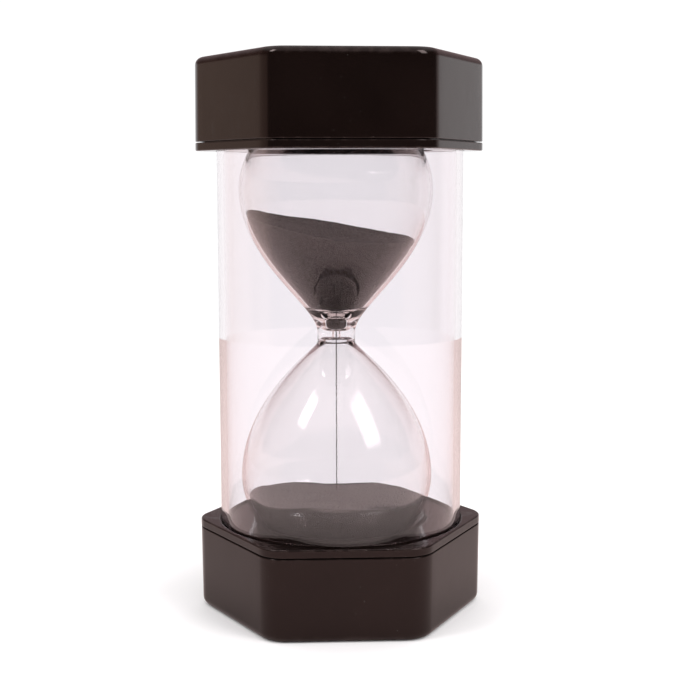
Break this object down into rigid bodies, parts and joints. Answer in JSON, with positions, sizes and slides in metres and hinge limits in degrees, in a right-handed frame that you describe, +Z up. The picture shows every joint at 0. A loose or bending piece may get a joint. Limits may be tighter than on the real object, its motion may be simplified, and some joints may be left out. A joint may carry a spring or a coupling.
{
  "type": "hourglass",
  "caption": "Sand timer with a blown-glass two-lobed bulb inside a clear tube, between two glossy black hexagonal caps.",
  "frame": {"origin": "middle of the bottom cap's flat end, where the timer stands", "axes": "+Z up along the tube; -Y through the middle of one flat of the caps; +X through a corner of the caps"},
  "size_m": [0.0828, 0.0752, 0.16],
  "materials": {
    "black_plastic": "high-gloss moulded, near black with a faint warm tone",
    "black_plate": "high-gloss moulded, near black",
    "grey_foam": "matt closed-cell foam",
    "clear_plastic": "clear, extruded, with a faint pink tint",
    "blown_glass": "clear blown glass, thicker at the neck",
    "stopper_rubber": "matt",
    "black_sand": "fine dyed grains, matt"
  },
  "bodies": {
    "root": {"bottom_shell": "black_plastic", "bottom_plate": "black_plate", "bottom_cushion": "grey_foam", "top_shell": "black_plastic", "top_plate": "black_plate", "top_cushion": "grey_foam", "clear_tube": "clear_plastic", "glass_bulb": "blown_glass", "bulb_stopper": "stopper_rubber", "upper_sand": "black_sand", "lower_sand": "black_sand", "sand_stream": "black_sand"}
  },
  "joints": []
}
